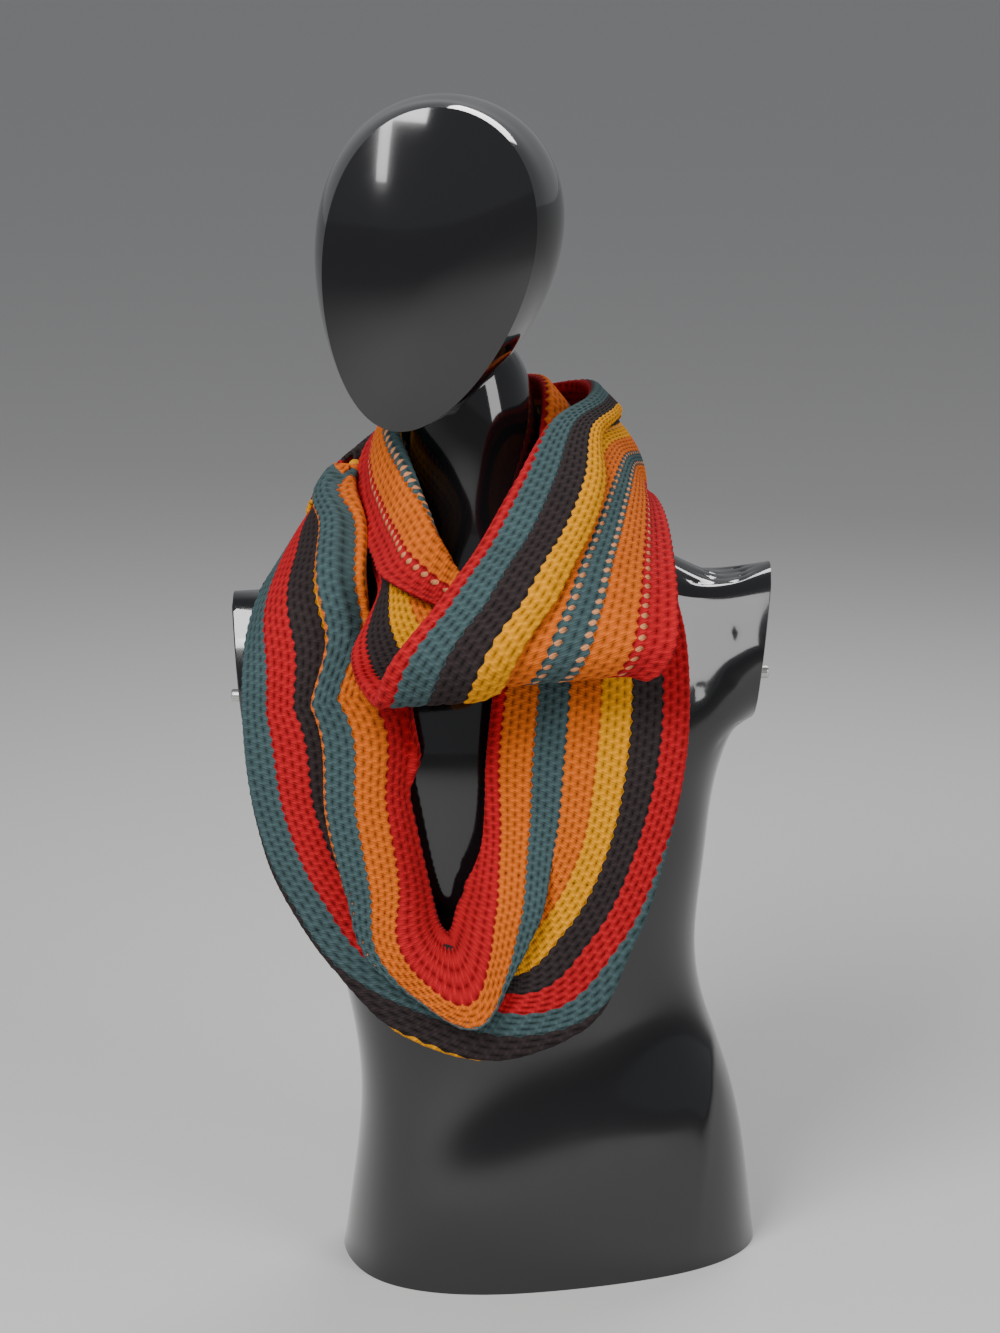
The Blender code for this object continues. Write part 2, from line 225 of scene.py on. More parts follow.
SECTIONS = (
    Section("left_arm", (-121, 64, 650), (-166, 86, 583), 2, -140, 0, 86, 0),
    Section("left_arm", (-124, 3, 645), (-174, 22, 580), 5, -56, -46, 86, 23),
    Section("left_arm", (-113, -48, 620), (-188, -34, 565), 9, -56, -58, 86, 23),
    Section("left_arm", (-111, -92, 584), (-196, -78, 536), 14, -55, -60, 86, 24),
    Section("left_arm", (-103, -103, 542), (-196, -104, 508), 16, -50, -62, 86, 27),
    Section("left_arm", (-84, -109, 502), (-194, -118, 480), 18, 0, -64, 86, 33),
    Section("left_arm", (-67, -116, 415), (-184, -127, 402), 18, 0, -62, 86, 38),
    Section("left_arm", (-52, -118, 346), (-160, -134, 338), 16, 0, -58, 86, 46, 8),
    Section("v_bottom", (-46, -126, 322), (-124, -138, 285), 12, 0, -56, 86, 56, 22),
    Section("v_bottom", (-43, -132, 315), (-74, -138, 234), 8, 0, -30, 80, 66, 28),
    Section("v_bottom", (-41, -134, 314), (-8, -138, 213), 8, 0, -34, 80, 70, 28),
    Section("v_bottom", (-39, -132, 317), (60, -136, 235), 8, 0, -50, 80, 32, 22),
    Section("v_bottom", (-30, -125, 342), (99, -130, 301), 10, 0, -76, 84, 14, 10),
    Section("right_arm", (-10, -118, 384), (126, -120, 379), 12, -14, -86, 84, 0),
    Section("right_arm", (-5, -118, 446), (141, -108, 457), 14, -23, -92, 84, 0),
    Section("right_arm", (2, -116, 510), (141, -85, 532), 12, -24, -92, 84, 0),
    Section("right_arm", (12, -95, 578), (130, -50, 578), 10, -26, -92, 84, 0),
    Section("right_arm", (34, -40, 654), (112, 18, 618), 8, -32, -88, 84, 0),
    Section("back_inner", (42, 30, 715), (102, 86, 607), 8, -34, -88, 84, 0),
    Section("back_inner", (20, 86, 716), (54, 130, 552), 8, -30, -92, 84, 0),
    Section("back_inner", (-32, 94, 708), (-38, 134, 535), 8, 0, -92, 84, 0),
    Section("back_inner", (-74, 70, 700), (-104, 98, 572), 5, 44, -95, 84, 0),
    Section("upper_left", (-83, 12, 688), (-102, 28, 626), 2, 72, -100, 84, 0),
    Section("upper_left", (-68, -46, 658), (-99, -38, 588), 2, 72, -103, 84, 0),
    Section("upper_left", (-57, -73, 633), (-93, -85, 575), 3, 66, -103, 84, 0),
    Section("upper_left", (-46, -97, 608), (-101, -122, 559), 4, 62, -103, 84, 0),
    Section("upper_left", (-25, -120, 578), (-107, -148, 547), 6, 50, -103, 84, 0),
    Section("upper_left", (23, -138, 548), (-106, -162, 534), 4, 30, -103, 84, 0),
    Section("upper_front", (86, -142, 530), (-100, -170, 522), 2, 12, -103, 84, 0),
    Section("upper_front", (113, -154, 526), (-90, -184, 516), 0, 0, -103, 84, 0),
    Section("upper_front", (130, -162, 545), (-80, -198, 540), -8, 0, -103, 84, 0),
    Section("upper_front", (133, -138, 577), (-48, -192, 579), -13, 0, -103, 84, 0),
    Section("upper_front", (130, -94, 604), (-18, -168, 616), -18, 0, -102, 84, 0, 0, 0.05),
    Section("upper_front", (125, -44, 624), (11, -126, 660), -20, 0, -98, 84, 0, 0, 0.16),
    Section("upper_front", (117, 18, 630), (40, -66, 700), -19, 0, -90, 84, 0, 0, 0.48),
    Section("back_outer", (116, 76, 612), (70, 10, 708), -17, 0, -88, 84, 0, 0, 0.64),
    Section("back_outer", (98, 124, 564), (66, 96, 706), -14, 0, -92, 84, 0, 0, 0.45),
    Section("back_outer", (5, 158, 518), (0, 124, 690), -12, 0, -103, 84, 0),
    Section("back_outer", (-88, 144, 532), (-66, 112, 682), -8, 0, -118, 84, 0),
    Section("back_outer", (-160, 86, 588), (-120, 67, 650), -6, 0, -140, 84, 0),
)


@dataclass(frozen=True)
class FoldShape:
    """How the cloth turns where it is folded lengthwise.

    drawn_share is how much of a section's spread reaches the threads that lie drawn_at from the
    edge.
    """

    radius: float = 4.5
    spread: float = 0.02
    margin: float = 8.0
    softness: float = 3.0
    pleat_rise: float = 12.6
    pleat_ease: float = 0.42
    pleat_slack: float = 0.16
    full_pleat: float = 10.0
    drawn_at: tuple[float, ...] = (0, 28, 56, 84, 150)
    drawn_share: tuple[float, ...] = (0, 1, 0.72, 0.34, 0)

    def soft(self, value: Array) -> Array:
        """The value where it is positive and nothing elsewhere, with a rounded corner.

        Args:
            value: Any numbers.

        Returns:
            The softened numbers.
        """
        return 0.5 * (value + np.sqrt(value * value + self.softness**2))

    def profile(self, threads: Array, sizes: Array, chord: Array) -> tuple[Array, Array]:
        """Where each thread across the strip lies in its section.

        Args:
            threads: Distance of each thread from the first edge, one row for every section.
            sizes: Each section's bow, folds, pleat place and depth, spread and gather.
            chord: Distance between the two lines of each section.

        Returns:
            Distance along the chord, and height off it towards the right side.
        """
        bow, near_fold, far_fold, pleat_at, pleat, spread, gather = sizes.T[:, :, None]
        width = KNIT.width
        drawn = np.interp(threads, self.drawn_at, self.drawn_share)
        across = threads + spread * drawn
        near, far = np.abs(near_fold), np.abs(far_fold)
        face = width - near - far
        depth = np.maximum(pleat, 0)
        crease = pleat_at - near

        def pleated(place: Array) -> Array:
            """Distance across the face once the pleat is laid."""
            return place - 2 * self.soft(place - crease) + 2 * self.soft(place - crease - depth)

        on_face = across - near
        start, end = pleated(np.zeros_like(face)), pleated(face)
        along = (pleated(on_face) - start) * chord / (end - start)
        slack = 1 + depth * self.pleat_slack
        under = 1 / (1 + np.exp(-(on_face - crease - depth / 2) / slack))
        ease = np.clip(on_face / np.maximum(crease * self.pleat_ease, 1), 0, 1)
        rise = self.pleat_rise * np.minimum(depth / self.full_pleat, 1)
        height = rise * (1 - under) * ease**2 * (3 - 2 * ease)

        at_near, at_far = across < near, across > width - far
        past = np.where(at_near, near - across, np.where(at_far, across - width + far, 0))
        side = np.where(at_near, np.sign(near_fold), np.sign(far_fold))
        turn = np.clip(past / self.radius, 0, math.pi)
        run = np.clip(past - math.pi * self.radius, 0, None)
        widest = np.where(at_near, near, far) - math.pi * self.radius
        run = run * np.minimum(1, (chord - self.margin) / np.maximum(widest, 1))
        run = np.where(at_far, run * (1 - gather), run)
        back = run - self.radius * np.sin(turn)
        lift = side * (self.radius * (1 - np.cos(turn)) + self.spread * run)
        along = np.where(at_near, back, np.where(at_far, chord - back, along))
        height = np.where(past > 0, lift, height)
        part = np.clip(along / chord, 0, 1)
        return along, height + bow * 4 * part * (1 - part)


class ScarfLoop:
    """The whole loop of cloth as a smooth surface over its length and its width."""

    look_ahead: float = 3.0

    def __init__(self, sections: tuple[Section, ...], fold: FoldShape) -> None:
        """Measure the loop.

        Args:
            sections: Cross-sections in the order that the cloth runs.
            fold: Shape of its lengthwise folds.
        """
        self.sections = sections
        self.fold = fold
        self.rows = np.array([section.numbers() for section in sections], float)
        near, far = self.rows[:, 0:3], self.rows[:, 3:6]

        def steps(points: Array) -> Array:
            """Lengths from each point to the next."""
            return np.linalg.norm(np.diff(points, axis=0), axis=1)

        lengths = 0.5 * steps((near + far) / 2) + 0.25 * (steps(near) + steps(far))
        self.stations = np.concatenate([[0.0], np.cumsum(lengths)])

    @cached_property
    def slopes(self) -> Array:
        """Rate of change of every size at each section.

        Returns:
            One row for each section.
        """
        steps = np.diff(self.stations)[:, None]
        rates = np.diff(self.rows, axis=0) / steps
        inner = (rates[:-1] * steps[1:] + rates[1:] * steps[:-1]) / (steps[1:] + steps[:-1])
        return np.vstack([rates[:1], inner, rates[-1:]])

    def sizes_at(self, places: Array) -> Array:
        """Section sizes at any length along the loop, on a smooth curve through the sections.

        Args:
            places: Lengths along the loop.

        Returns:
            One row of sizes for each place.
        """
        index = np.clip(np.searchsorted(self.stations, places) - 1, 0, len(self.stations) - 2)
        step = np.diff(self.stations)[index][:, None]
        t = (places - self.stations[index])[:, None] / step
        ends = self.rows[index], self.rows[index + 1]
        return smooth_curve(t, step, ends, (self.slopes[index], self.slopes[index + 1]))

    def surface(self, places: Array, threads: Array) -> Array:
        """Points on the cloth's middle layer.

        Args:
            places: Lengths along the loop.
            threads: Distances from the first edge.

        Returns:
            A grid of points, places by threads.
        """
        reach = self.stations[-1]
        here = self.sizes_at(places)
        ahead = self.sizes_at(np.clip(places + self.look_ahead, 0, reach))
        behind = self.sizes_at(np.clip(places - self.look_ahead, 0, reach))
        forward = (ahead - behind)[:, 0:3] + (ahead - behind)[:, 3:6]
        across = here[:, 3:6] - here[:, 0:3]
        chord = np.linalg.norm(across, axis=1, keepdims=True)
        across = across / chord
        outward = np.cross(across, forward)
        outward /= np.linalg.norm(outward, axis=1, keepdims=True)
        grid = np.broadcast_to(threads, (len(places), len(threads)))
        along, height = self.fold.profile(grid, here[:, 6:], chord)
        base = here[:, None, 0:3] + along[:, :, None] * across[:, None]
        return base + height[:, :, None] * outward[:, None]

    def span(self, stretch: str) -> tuple[float, float]:
        """Where a stretch starts and ends.

        Args:
            stretch: Its name.

        Returns:
            Two lengths along the loop.
        """
        own = [i for i, section in enumerate(self.sections) if section.stretch == stretch]
        return self.seam(own[0]), self.seam(own[-1] + 1)

    def seam(self, index: int) -> float:
        """Where the seam before a section lies: half way back, at the widest swing of a stitch.

        Args:
            index: Number of the section, or one past the last.

        Returns:
            A length along the loop.
        """
        if index in (0, len(self.stations)):
            return float(self.stations[min(index, len(self.stations) - 1)])
        half_way = (self.stations[index - 1] + self.stations[index]) / 2
        return (round(2 * half_way / KNIT.stitch - 0.5) + 0.5) * KNIT.stitch / 2


class Shader:
    """A small helper that adds and joins shader nodes."""

    def __init__(self, name: str) -> None:
        """Start a material.

        Args:
            name: Its name.
        """
        self.material = bpy.data.materials.new(name)
        self.material.use_nodes = True
        self.tree = self.material.node_tree
        self.surface = self.tree.nodes["Principled BSDF"]

    def node(self, kind: str, **settings: object) -> bpy.types.Node:
        """Add a node.

        Args:
            kind: Its type, without the ShaderNode in front.
            **settings: Properties to set on it.

        Returns:
            The node.
        """
        made = self.tree.nodes.new("ShaderNode" + kind)
        for key, value in settings.items():
            setattr(made, key, value)
        return made

    def put(self, socket: bpy.types.NodeSocket, value: object) -> None:
        """Link a socket to an output, or set it to a constant.

        Args:
            socket: The input socket.
            value: An output socket, a number or a tuple.
        """
        if isinstance(value, bpy.types.NodeSocket):
            self.tree.links.new(value, socket)
        else:
            socket.default_value = value

    def math(self, operation: str, *values: object, clamp: bool = False) -> bpy.types.NodeSocket:
        """Work out one sum.

        Args:
            operation: A Math node's operation.
            *values: Its inputs, as outputs of other nodes or numbers.
            clamp: Keep the result between 0 and 1.

        Returns:
            The result's socket.
        """
        made = self.node("Math", operation=operation, use_clamp=clamp)
        for socket, value in zip(made.inputs, values):
            self.put(socket, value)
        return made.outputs[0]

    def mix(self, share: object, first: object, second: object) -> bpy.types.NodeSocket:
        """Mix two colours.

        Args:
            share: How much of the second.
            first: A colour.
            second: A colour.

        Returns:
            The mixed colour's socket.
        """
        made = self.node("Mix", data_type="RGBA")
        self.put(made.inputs["Factor"], share)
        self.put(made.inputs["A"], first)
        self.put(made.inputs["B"], second)
        return made.outputs["Result"]

    def noise(self, vector: object, scale: float, detail: float = 2.0) -> bpy.types.NodeSocket:
        """Add a noise pattern.

        Args:
            vector: The coordinates to read.
            scale: Its scale.
            detail: Its detail.

        Returns:
            The pattern's value.
        """
        made = self.node("TexNoise")
        self.put(made.inputs["Vector"], vector)
        self.put(made.inputs["Scale"], scale)
        self.put(made.inputs["Detail"], detail)
        return made.outputs["Fac"]

    def bump(
        self, height: object, strength: float, distance: float, normal: object = None
    ) -> bpy.types.NodeSocket:
        """Add a bump.

        Args:
            height: Its height.
            strength: Its strength, from 0 to 1.
            distance: Height in metres of a value of 1.
            normal: A normal to start from.

        Returns:
            The new normal's socket.
        """
        made = self.node("Bump")
        self.put(made.inputs["Strength"], strength)
        self.put(made.inputs["Distance"], distance)
        self.put(made.inputs["Height"], height)
        if normal is not None:
            self.put(made.inputs["Normal"], normal)
        return made.outputs["Normal"]


@dataclass(frozen=True)
class WoolFinish:
    """Slightly fuzzy knitted wool. Its pattern follows the cloth's own map of stitches and ridges.

    Depths of bumps are in metres. dot_rows are the ridges where the next stripe's yarn shows as
    dots on the wrong side.
    """

    side: Side
    roughness: float = 0.92
    specular: float = 0.06
    sheen: float = 0.02
    sheen_roughness: float = 0.5
    hole_shade: float = 0.12
    hole_contrast: float = 1.8
    fuzz: float = 0.02
    lint: tuple[float, ...] = (0.8, 0.72, 0.66, 1)
    fibre_scale: float = 900.0
    mottle_scale: float = 55.0
    mottle: float = 0.3
    mottle_start: float = -0.05
    cord_depth: float = 0.002
    twist_depth: float = 0.0006
    twist_strength: float = 0.35
    fibre_depth: float = 0.0007
    fibre_strength: float = 0.5
    edge_swing: float = 0.2
    plies_across: float = 9.0
    plies_along: float = 26.0
    dot_rows: tuple[float, ...] = (3.35, 8.65, 11.35, 19.35, 27.35, 32.65, 35.35)
    dot_half_width: float = 0.42
    dot_reach: float = 1.2
    dot_start: float = -0.85
    dot_edge: float = 4.0

    def build(self) -> bpy.types.Material:
        """Build the finish.

        Returns:
            The material.
        """
        shader = Shader(f"wool_{self.side.value}_side")
        cloth = shader.node("UVMap", uv_map="cloth").outputs["UV"]
        parts = shader.node("SeparateXYZ")
        shader.put(parts.inputs[0], cloth)
        stitches, ridges = parts.outputs[0], parts.outputs[1]
        height = self.cords(shader, stitches, ridges)
        colour = self.stripes(shader, stitches, ridges)
        if self.side is Side.WRONG:
            colour = self.dots(shader, stitches, ridges, colour)
        place = shader.node("TexCoord").outputs["Object"]
        fibres = shader.noise(place, self.fibre_scale, 3.0)
        mottle = shader.noise(place, self.mottle_scale)
        mottle = shader.math("MULTIPLY_ADD", mottle, self.mottle, self.mottle_start, clamp=True)
        dark = shader.mix(mottle, colour, BLACK)
        light = shader.mix(shader.math("MULTIPLY", fibres, self.fuzz), dark, self.lint)
        shade = shader.math("POWER", height, self.hole_contrast)
        shade = shader.math("MULTIPLY_ADD", shade, 1 - self.hole_shade, self.hole_shade)
        shaded = shader.node("Mix", data_type="RGBA", blend_type="MULTIPLY")
        shader.put(shaded.inputs["Factor"], 1.0)
        shader.put(shaded.inputs["A"], light)
        shader.put(shaded.inputs["B"], shade)
        shader.put(shader.surface.inputs["Base Color"], shaded.outputs["Result"])
        twist = self.twist(shader, stitches, ridges)
        relief = shader.bump(height, 1.0, self.cord_depth)
        relief = shader.bump(twist, self.twist_strength, self.twist_depth, relief)
        relief = shader.bump(fibres, self.fibre_strength, self.fibre_depth, relief)
        shader.put(shader.surface.inputs["Normal"], relief)
        shader.put(shader.surface.inputs["Roughness"], self.roughness)
        shader.put(shader.surface.inputs["Sheen Weight"], self.sheen)
        shader.put(shader.surface.inputs["Sheen Roughness"], self.sheen_roughness)
        shader.put(shader.surface.inputs["Specular IOR Level"], self.specular)
        return shader.material

    def wave(self, shader: Shader, stitches: object, cell: object) -> bpy.types.NodeSocket:
        """The sideways swing of one ridge's cord.

        Args:
            shader: The material being built.
            stitches: Place along the strip.
            cell: Number of the ridge.

        Returns:
            A wave from -1 to 1, turned round in every second ridge.
        """
        odd = shader.math("FLOORED_MODULO", cell, 2.0)
        half_turn = shader.math("MULTIPLY", odd, math.pi)
        angle = shader.math("MULTIPLY_ADD", stitches, 2 * math.pi, half_turn)
        sine = shader.math("MULTIPLY", shader.math("SINE", angle), KNIT.crispness)
        return shader.math("MULTIPLY", shader.math("ARCSINE", sine), 2 / math.pi)

    def cords(self, shader: Shader, stitches: object, ridges: object) -> bpy.types.NodeSocket:
        """Height of the wavy cords, as the mesh has it, but sharp at any size.

        Args:
            shader: The material being built.
            stitches: Place along the strip.
            ridges: Place across it.

        Returns:
            Height from 0 to 1.
        """
        cell = shader.math("FLOOR", ridges)
        wave = self.wave(shader, stitches, cell)
        middle = shader.math("MULTIPLY_ADD", wave, KNIT.swing, 0.5)
        off = shader.math("SUBTRACT", shader.math("SUBTRACT", ridges, cell), middle)
        square = shader.math("MULTIPLY", off, off)
        left = shader.math("MULTIPLY_ADD", square, -1 / KNIT.half_cord**2, 1.0)
        round_cord = shader.math("SQRT", shader.math("MAXIMUM", left, 0.0))
        wave_square = shader.math("MULTIPLY", wave, wave)
        knots = shader.math("MULTIPLY_ADD", wave_square, KNIT.knot, 1 - KNIT.knot)
        return shader.math("MULTIPLY", round_cord, knots)

    def stripes(self, shader: Shader, stitches: object, ridges: object) -> bpy.types.NodeSocket:
        """Stripe colours, with edges scalloped by the stitches.

        Args:
            shader: The material being built.
            stitches: Place along the strip.
            ridges: Place across it.

        Returns:
            The colour's socket.
        """
        nearest = shader.math("ROUND", ridges)
        wave = self.wave(shader, stitches, nearest)
        shifted = shader.math("MULTIPLY_ADD", wave, -self.edge_swing, ridges)
        share = shader.math("DIVIDE", shifted, float(KNIT.ridges_per_stripe * len(STRIPES)))
        ramp = shader.node("ValToRGB")
        ramp.color_ramp.interpolation = "CONSTANT"
        stops = ramp.color_ramp.elements
        for i, yarn in enumerate(STRIPES):
            stop = stops[i] if i < 2 else stops.new(i / len(STRIPES))
            stop.position = i / len(STRIPES)
            stop.color = (*yarn.value, 1.0)
        shader.put(ramp.inputs[0], share)
        return ramp.outputs["Color"]

    def dots(
        self, shader: Shader, stitches: object, ridges: object, colour: object
    ) -> bpy.types.NodeSocket:
        """Loops of the next stripe's yarn that show as dots on the wrong side.

        Args:
            shader: The material being built.
            stitches: Place along the strip.
            ridges: Place across it.
            colour: The stripes' colour.

        Returns:
            The colour's socket.
        """
        for row in self.dot_rows:
            wave = self.wave(shader, stitches, math.floor(row))
            off = shader.math("SUBTRACT", ridges, row)
            across = shader.math("MULTIPLY", off, 1 / self.dot_half_width)
            round_off = shader.math("SUBTRACT", 1.0, shader.math("MULTIPLY", across, across))
            near_crest = shader.math("MULTIPLY_ADD", wave, self.dot_reach, self.dot_start)
            inside = shader.math("ADD", round_off, near_crest)
            share = shader.math("MULTIPLY", inside, self.dot_edge, clamp=True)
            colour = shader.mix(share, colour, (*Yarn.PALE.value, 1.0))
        return colour

    def twist(self, shader: Shader, stitches: object, ridges: object) -> bpy.types.NodeSocket:
        """Slanting plies of the yarn along each cord.

        Args:
            shader: The material being built.
            stitches: Place along the strip.
            ridges: Place across it.

        Returns:
            A wave from -1 to 1.
        """
        along = shader.math("MULTIPLY", stitches, self.plies_along)
        slant = shader.math("MULTIPLY_ADD", ridges, self.plies_across, along)
        return shader.math("SINE", slant)


@dataclass(frozen=True)
class GlossFinish:
    """Black lacquer with a few soft smudges."""

    colour: tuple[float, float, float] = (0.006, 0.006, 0.007)
    roughness: float = 0.09
    smudge: float = 0.10
    smudge_scale: float = 9.0
    smudge_contrast: float = 3.0
    smudge_start: float = -1.4
    coat: float = 0.6
    coat_roughness: float = 0.04

    def build(self) -> bpy.types.Material:
        """Build the finish.

        Returns:
            The material.
        """
        shader = Shader("black_lacquer")
        place = shader.node("TexCoord").outputs["Object"]
        cloudy = shader.noise(place, self.smudge_scale, 4.0)
        share = shader.math(
            "MULTIPLY_ADD", cloudy, self.smudge_contrast, self.smudge_start, clamp=True
        )
        rough = shader.math("MULTIPLY_ADD", share, self.smudge, self.roughness)
        shader.put(shader.surface.inputs["Base Color"], (*self.colour, 1.0))
        shader.put(shader.surface.inputs["Roughness"], rough)
        shader.put(shader.surface.inputs["Coat Weight"], self.coat)
        shader.put(shader.surface.inputs["Coat Roughness"], self.coat_roughness)
        return shader.material


@dataclass(frozen=True)
class SteelFinish:
    """Plain turned steel."""

    colour: tuple[float, float, float] = (0.55, 0.55, 0.52)
    roughness: float = 0.28
    grain: float = 0.15
    grain_scale: float = 700.0

    def build(self) -> bpy.types.Material:
        """Build the finish.

        Returns:
            The material.
        """
        shader = Shader("turned_steel")
        place = shader.node("TexCoord").outputs["Object"]
        grain = shader.noise(place, self.grain_scale)
        rough = shader.math("MULTIPLY_ADD", grain, self.grain, self.roughness)
        shader.put(shader.surface.inputs["Base Color"], (*self.colour, 1.0))
        shader.put(shader.surface.inputs["Metallic"], 1.0)
        shader.put(shader.surface.inputs["Roughness"], rough)
        return shader.material


@dataclass(frozen=True)
class PaperFinish:
    """Plain pale studio floor."""

    colour: tuple[float, float, float] = (0.62, 0.61, 0.60)
    roughness: float = 0.9

    def build(self) -> bpy.types.Material:
        """Build the finish.

        Returns:
            The material.
        """
        shader = Shader("pale_paper")
        shader.put(shader.surface.inputs["Base Color"], (*self.colour, 1.0))
        shader.put(shader.surface.inputs["Roughness"], self.roughness)
        return shader.material


@dataclass
class ScarfStretch:
    """One stretch of the scarf: two knitted faces over its length, joined round the rim."""

    loop: ScarfLoop
    name: str
    finishes: dict[Side, bpy.types.Material]

    @property
    def node(self) -> str:
        """Name of the CAD solid that this stretch stands for.

        Returns:
            The node's name.
        """
        return "scarf_" + self.name

    def knit(self) -> bpy.types.Object:
        """Build the cloth and give it its finishes.

        Returns:
            The finished piece.
        """
        start, end = self.loop.span(self.name)
        per_step = KNIT.stitch / KNIT.steps_per_stitch
        count = round((end - start) / per_step) + 1
        places = np.linspace(start, end, count)
        steps = KNIT.ridges_per_stripe * len(STRIPES) * KNIT.steps_per_ridge
        threads = np.linspace(0, KNIT.width, steps + 1)
        middle = self.loop.surface(places, threads)
        ahead, behind = (self.loop.surface(places + way, threads) for way in (1, -1))
        onward = ahead - behind
        normal = np.cross(np.gradient(middle, axis=1), onward)
        normal /= np.linalg.norm(normal, axis=2, keepdims=True)
        inset = np.minimum(threads, KNIT.width - threads) / KNIT.curl_width
        middle -= KNIT.curl * np.exp(-inset * inset)[None, :, None] * normal
        stitches = places[:, None] / KNIT.stitch
        ridges = threads[None, :] / KNIT.ridge
        faces = []
        for sign, shift in ((1, 0.0), (-1, KNIT.back_shift)):
            height = KNIT.relief(stitches + shift, ridges)
            thickness = KNIT.core / 2 + KNIT.cord_height * (height - KNIT.hole_level)
            faces.append(middle + sign * thickness[:, :, None] * normal)
        return self.sew(faces, stitches, ridges)

    def sew(self, faces: list[Array], stitches: Array, ridges: Array) -> bpy.types.Object:
        """Make one closed mesh of the two faces.

        Args:
            faces: Grids of points of the right and wrong side.
            stitches: Place of each row along the strip.
            ridges: Place of each column across it.

        Returns:
            The piece.
        """
        rows, columns = faces[0].shape[:2]
        points = np.concatenate([face.reshape(-1, 3) for face in faces])
        index = np.arange(rows * columns).reshape(rows, columns)
        back = index + rows * columns
        front_quads = np.stack([index[:-1, :-1], index[:-1, 1:], index[1:, 1:], index[1:, :-1]], -1)
        back_quads = np.stack([back[:-1, :-1], back[1:, :-1], back[1:, 1:], back[:-1, 1:]], -1)
        rim = np.concatenate([index[:, 0], index[-1, 1:], index[-2::-1, -1], index[0, -2:0:-1]])
        onward = np.roll(rim, -1)
        rim_quads = np.stack([rim, onward, onward + rows * columns, rim + rows * columns], -1)
        quads = np.concatenate([front_quads.reshape(-1, 4), back_quads.reshape(-1, 4), rim_quads])
        mesh = bpy.data.meshes.new(self.node)
        placed = (points + np.array(CENTRING)) * MM
        mesh.from_pydata(placed.tolist(), [], quads.tolist())
        layer = mesh.uv_layers.new(name="cloth")
        corners = quads.reshape(-1) % (rows * columns)
        along = np.broadcast_to(stitches, (rows, columns)).reshape(-1)[corners]
        across = np.broadcast_to(ridges, (rows, columns)).reshape(-1)[corners]
        shift = np.where(quads.reshape(-1) < rows * columns, 0.0, KNIT.back_shift)
        places = np.stack([along + shift, across], -1).astype(np.float32)
        layer.uv.foreach_set("vector", places.ravel())
        for finish in self.finishes.values():
            mesh.materials.append(finish)
        slots = np.zeros(len(quads), np.int32)
        slots[(rows - 1) * (columns - 1):] = 1
        slots[len(quads) - len(rim_quads):] = 0
        mesh.polygons.foreach_set("material_index", slots)
        smooth = np.ones(len(quads), bool)
        sides = [rows - 1, columns - 1] * 2
        smooth[len(quads) - len(rim):] = np.repeat([True, False, True, False], sides)
        mesh.polygons.foreach_set("use_smooth", smooth)
        piece = bpy.data.objects.new(self.name + "_knit", mesh)
        bpy.context.scene.collection.objects.link(piece)
        return piece

    def place(self) -> None:
        """Knit this stretch and put it in place of its solid."""
        piece = self.knit()
        start, end = self.loop.span(self.name)
        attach(piece, "root")
        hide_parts(self.node)
        faces = len(piece.data.polygons)
        LOG.info("%s: %d faces, %.0f mm of scarf", self.name, faces, end - start)


@dataclass(frozen=True)
class Ring:
    """One horizontal ring of the torso.

    left and right are its ends, middle its middle's y, depth half its depth, yaw its turn in
    degrees and square its squareness, which is 2 for an ellipse.
    """

    z: float
    left: float
    right: float
    middle: float
    depth: float
    yaw: float
    square: float

    def points(self, count: int) -> list[Vector]:
        """Points round the ring, from +X anticlockwise.

        Args:
            count: How many.

        Returns:
            The points.
        """
        turn = Matrix.Rotation(-math.radians(self.yaw), 2)
        found = []
        for k in range(count):
            angle = 2 * math.pi * k / count
            x = math.copysign(abs(math.cos(angle)) ** (2 / self.square), math.cos(angle))
            y = math.copysign(abs(math.sin(angle)) ** (2 / self.square), math.sin(angle))
            flat = turn @ Vector((x * (self.right - self.left) / 2, y * self.depth))
            centre = (self.left + self.right) / 2
            found.append(Vector((flat.x + centre, flat.y + self.middle, self.z)))
        return found


